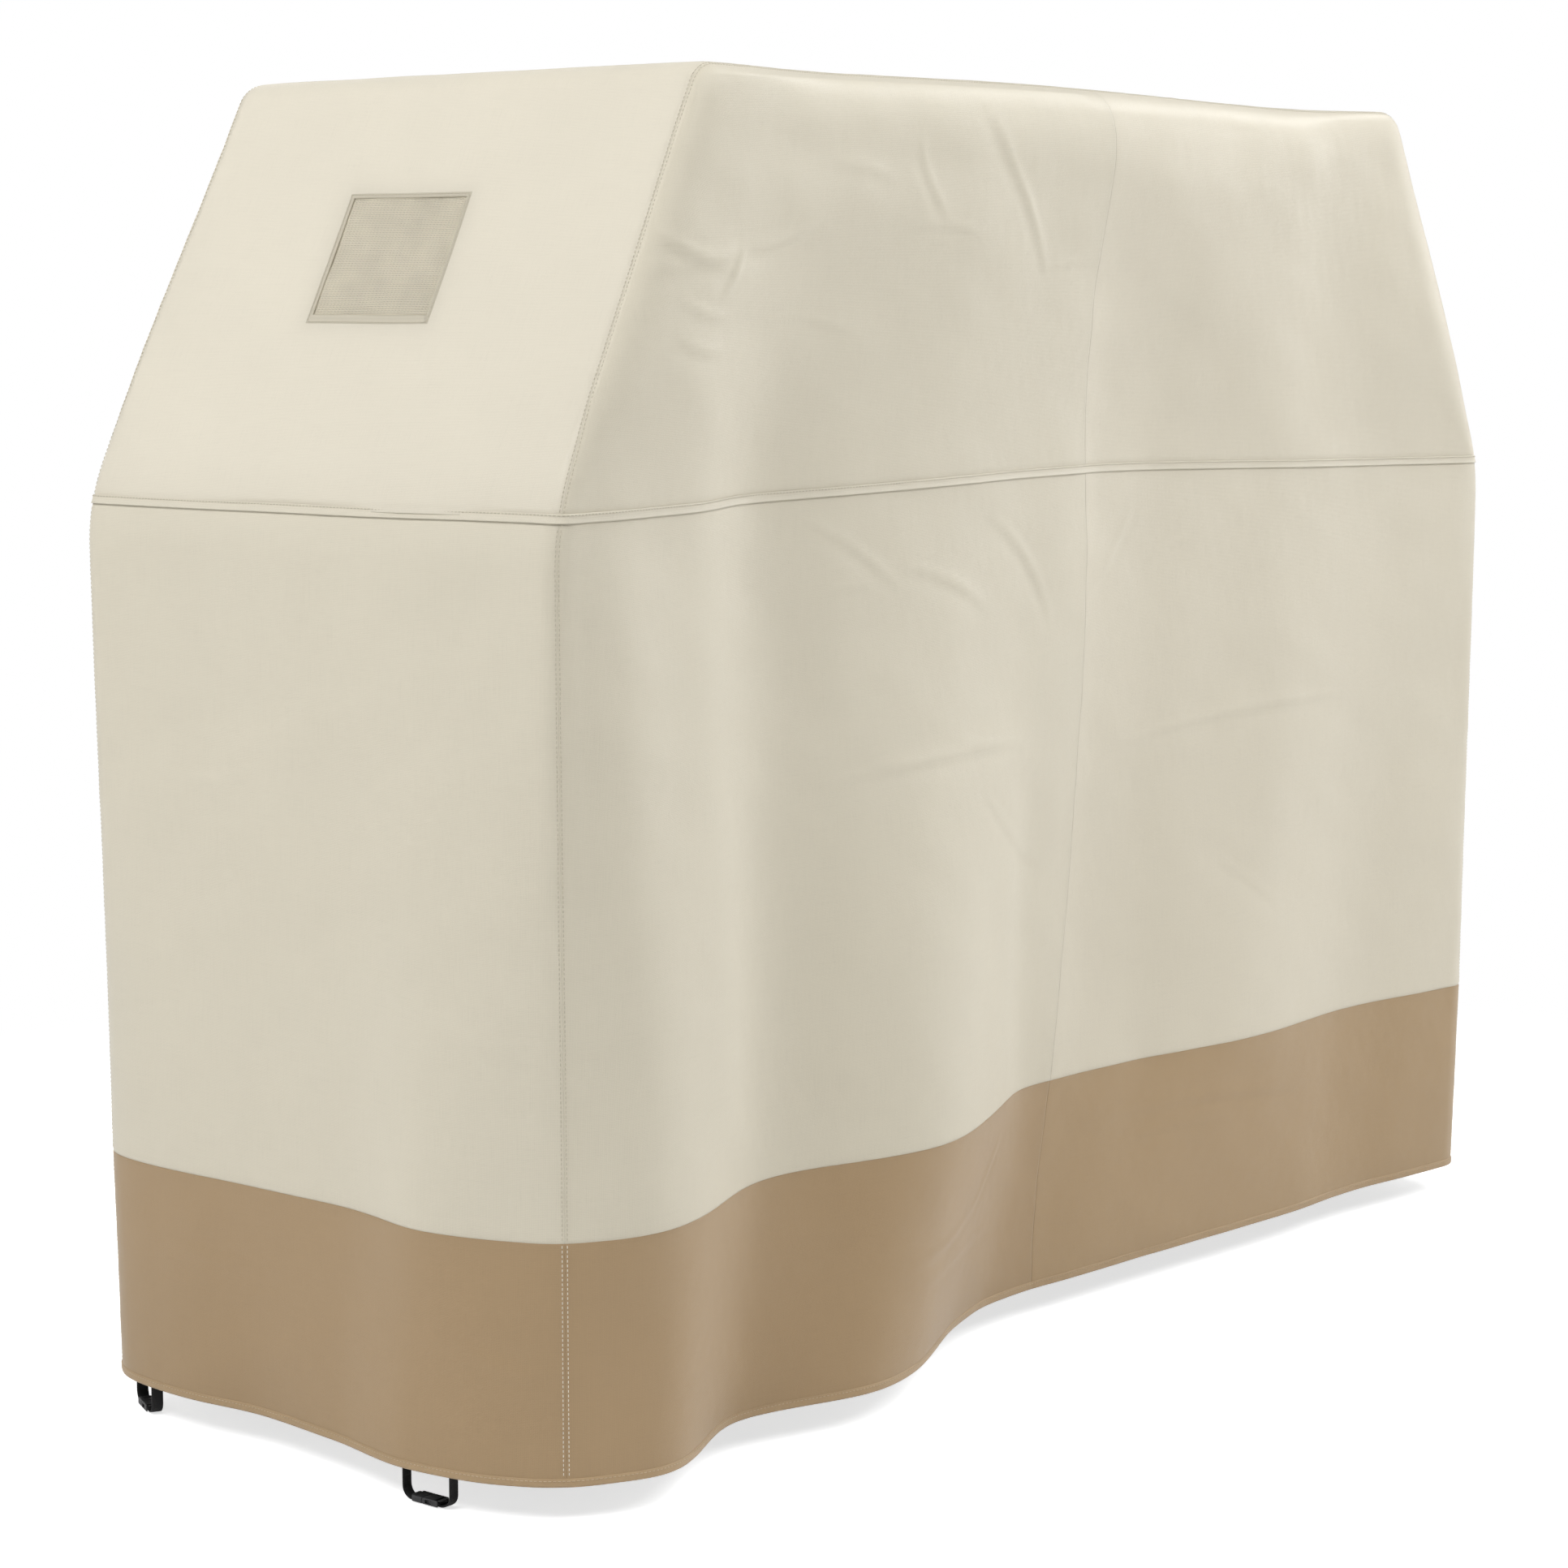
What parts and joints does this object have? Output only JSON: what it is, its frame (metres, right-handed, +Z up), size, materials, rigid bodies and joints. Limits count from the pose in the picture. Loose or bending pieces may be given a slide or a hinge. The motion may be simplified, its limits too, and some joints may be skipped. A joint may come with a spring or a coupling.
{
  "type": "grill cover",
  "caption": "Loose fabric grill cover: open-bottomed shell with sloping vented ends, seamed waist, darker skirt and buckled strap loops at the hem.",
  "frame": {"origin": "middle of the footprint, level with the undersides of the hanging buckles, 32 mm below the hem", "axes": "+X along the cover's length to the right end, +Y from the front to the back, +Z up"},
  "size_m": [1.7072, 0.6612, 1.274],
  "materials": {
    "cream_fabric": "coated plain-weave polyester, soft satin",
    "cream_top_fabric": "coated plain-weave polyester, soft satin",
    "tan_fabric": "coated plain-weave polyester, soft satin",
    "cream_binding": "folded and topstitched polyester",
    "tan_binding": "folded and topstitched polyester",
    "vent_mesh": "fine knitted mesh",
    "black_webbing": "ribbed woven webbing",
    "buckle_plastic": "moulded, satin"
  },
  "bodies": {
    "cover": {"over_top_panel": "cream_top_fabric", "front_upper_left": "cream_fabric", "front_upper_right": "cream_fabric", "front_lower_left": "cream_fabric", "front_lower_right": "cream_fabric", "front_skirt_left": "tan_fabric", "front_skirt_right": "tan_fabric", "back_upper_left": "cream_fabric", "back_upper_right": "cream_fabric", "back_lower_left": "cream_fabric", "back_lower_right": "cream_fabric", "back_skirt_left": "tan_fabric", "back_skirt_right": "tan_fabric", "left_end_lower": "cream_fabric", "left_end_skirt": "tan_fabric", "left_vent_mesh": "vent_mesh", "left_vent_binding": "cream_binding", "right_end_lower": "cream_fabric", "right_end_skirt": "tan_fabric", "right_vent_mesh": "vent_mesh", "right_vent_binding": "cream_binding", "waist_seam_band": "cream_binding", "hem_binding": "tan_binding", "left_front_strap_socket_tab": "black_webbing", "left_front_strap_plug_tab": "black_webbing", "left_back_strap_socket_tab": "black_webbing", "left_back_strap_plug_tab": "black_webbing", "right_front_strap_socket_tab": "black_webbing", "right_front_strap_plug_tab": "black_webbing", "right_back_strap_socket_tab": "black_webbing", "right_back_strap_plug_tab": "black_webbing"},
    "left_front_strap_loop": {"left_front_strap_socket": "buckle_plastic", "left_front_strap_socket_webbing": "black_webbing"},
    "left_front_strap_plug": {"left_front_strap_plug": "buckle_plastic", "left_front_strap_plug_webbing": "black_webbing"},
    "left_front_strap_inner_prong": {"left_front_strap_inner_prong": "buckle_plastic"},
    "left_front_strap_outer_prong": {"left_front_strap_outer_prong": "buckle_plastic"},
    "left_back_strap_loop": {"left_back_strap_socket": "buckle_plastic", "left_back_strap_socket_webbing": "black_webbing"},
    "left_back_strap_plug": {"left_back_strap_plug": "buckle_plastic", "left_back_strap_plug_webbing": "black_webbing"},
    "left_back_strap_inner_prong": {"left_back_strap_inner_prong": "buckle_plastic"},
    "left_back_strap_outer_prong": {"left_back_strap_outer_prong": "buckle_plastic"},
    "right_front_strap_loop": {"right_front_strap_socket": "buckle_plastic", "right_front_strap_socket_webbing": "black_webbing"},
    "right_front_strap_plug": {"right_front_strap_plug": "buckle_plastic", "right_front_strap_plug_webbing": "black_webbing"},
    "right_front_strap_inner_prong": {"right_front_strap_inner_prong": "buckle_plastic"},
    "right_front_strap_outer_prong": {"right_front_strap_outer_prong": "buckle_plastic"},
    "right_back_strap_loop": {"right_back_strap_socket": "buckle_plastic", "right_back_strap_socket_webbing": "black_webbing"},
    "right_back_strap_plug": {"right_back_strap_plug": "buckle_plastic", "right_back_strap_plug_webbing": "black_webbing"},
    "right_back_strap_inner_prong": {"right_back_strap_inner_prong": "buckle_plastic"},
    "right_back_strap_outer_prong": {"right_back_strap_outer_prong": "buckle_plastic"}
  },
  "joints": [
    {"name": "left_front_strap_swing", "type": "hinge", "parent": "cover", "child": "left_front_strap_loop", "pos_m": [-0.83542, -0.15462, 0.025], "axis": [0, 1, 0], "range_deg": [-75, 75]},
    {"name": "left_front_strap_release", "type": "slide", "parent": "left_front_strap_loop", "child": "left_front_strap_plug", "axis": [0, 1, 0], "range_m": [0, 0.0125]},
    {"name": "left_front_strap_inner_squeeze", "type": "hinge", "parent": "left_front_strap_plug", "child": "left_front_strap_inner_prong", "pos_m": [-0.83082, -0.15192, 0.003], "axis": [0, 0, 1], "range_deg": [-12.2, 0]},
    {"name": "left_front_strap_outer_squeeze", "type": "hinge", "parent": "left_front_strap_plug", "child": "left_front_strap_outer_prong", "pos_m": [-0.84002, -0.15192, 0.003], "axis": [0, 0, 1], "range_deg": [0, 12.2]},
    {"name": "left_back_strap_swing", "type": "hinge", "parent": "cover", "child": "left_back_strap_loop", "pos_m": [-0.79542, 0.26228, 0.025], "axis": [0.4618, 0.887, 0], "range_deg": [-75, 75]},
    {"name": "left_back_strap_release", "type": "slide", "parent": "left_back_strap_loop", "child": "left_back_strap_plug", "axis": [0.4618, 0.887, 0], "range_m": [0, 0.0125]},
    {"name": "left_back_strap_inner_squeeze", "type": "hinge", "parent": "left_back_strap_plug", "child": "left_back_strap_inner_prong", "pos_m": [-0.79009, 0.26255, 0.003], "axis": [0, 0, 1], "range_deg": [-12.2, 0]},
    {"name": "left_back_strap_outer_squeeze", "type": "hinge", "parent": "left_back_strap_plug", "child": "left_back_strap_outer_prong", "pos_m": [-0.79825, 0.2668, 0.003], "axis": [0, 0, 1], "range_deg": [0, 12.2]},
    {"name": "right_front_strap_swing", "type": "hinge", "parent": "cover", "child": "right_front_strap_loop", "pos_m": [0.83542, -0.15462, 0.025], "axis": [0, -1, 0], "range_deg": [-75, 75]},
    {"name": "right_front_strap_release", "type": "slide", "parent": "right_front_strap_loop", "child": "right_front_strap_plug", "axis": [0, -1, 0], "range_m": [0, 0.0125]},
    {"name": "right_front_strap_inner_squeeze", "type": "hinge", "parent": "right_front_strap_plug", "child": "right_front_strap_inner_prong", "pos_m": [0.83082, -0.15732, 0.003], "axis": [0, 0, 1], "range_deg": [-12.2, 0]},
    {"name": "right_front_strap_outer_squeeze", "type": "hinge", "parent": "right_front_strap_plug", "child": "right_front_strap_outer_prong", "pos_m": [0.84002, -0.15732, 0.003], "axis": [0, 0, 1], "range_deg": [0, 12.2]},
    {"name": "right_back_strap_swing", "type": "hinge", "parent": "cover", "child": "right_back_strap_loop", "pos_m": [0.80921, 0.20189, 0.025], "axis": [0, -1, 0], "range_deg": [-75, 75]},
    {"name": "right_back_strap_release", "type": "slide", "parent": "right_back_strap_loop", "child": "right_back_strap_plug", "axis": [0, -1, 0], "range_m": [0, 0.0125]},
    {"name": "right_back_strap_inner_squeeze", "type": "hinge", "parent": "right_back_strap_plug", "child": "right_back_strap_inner_prong", "pos_m": [0.80461, 0.19919, 0.003], "axis": [0, 0, 1], "range_deg": [-12.2, 0]},
    {"name": "right_back_strap_outer_squeeze", "type": "hinge", "parent": "right_back_strap_plug", "child": "right_back_strap_outer_prong", "pos_m": [0.81381, 0.19919, 0.003], "axis": [0, 0, 1], "range_deg": [0, 12.2]}
  ],
  "couplings": [
    {"joint": "left_front_strap_inner_squeeze", "follows": "left_front_strap_release", "rad_per_m": -16.7},
    {"joint": "left_front_strap_outer_squeeze", "follows": "left_front_strap_release", "rad_per_m": 16.7},
    {"joint": "left_back_strap_inner_squeeze", "follows": "left_back_strap_release", "rad_per_m": -16.7},
    {"joint": "left_back_strap_outer_squeeze", "follows": "left_back_strap_release", "rad_per_m": 16.7},
    {"joint": "right_front_strap_inner_squeeze", "follows": "right_front_strap_release", "rad_per_m": -16.7},
    {"joint": "right_front_strap_outer_squeeze", "follows": "right_front_strap_release", "rad_per_m": 16.7},
    {"joint": "right_back_strap_inner_squeeze", "follows": "right_back_strap_release", "rad_per_m": -16.7},
    {"joint": "right_back_strap_outer_squeeze", "follows": "right_back_strap_release", "rad_per_m": 16.7}
  ]
}
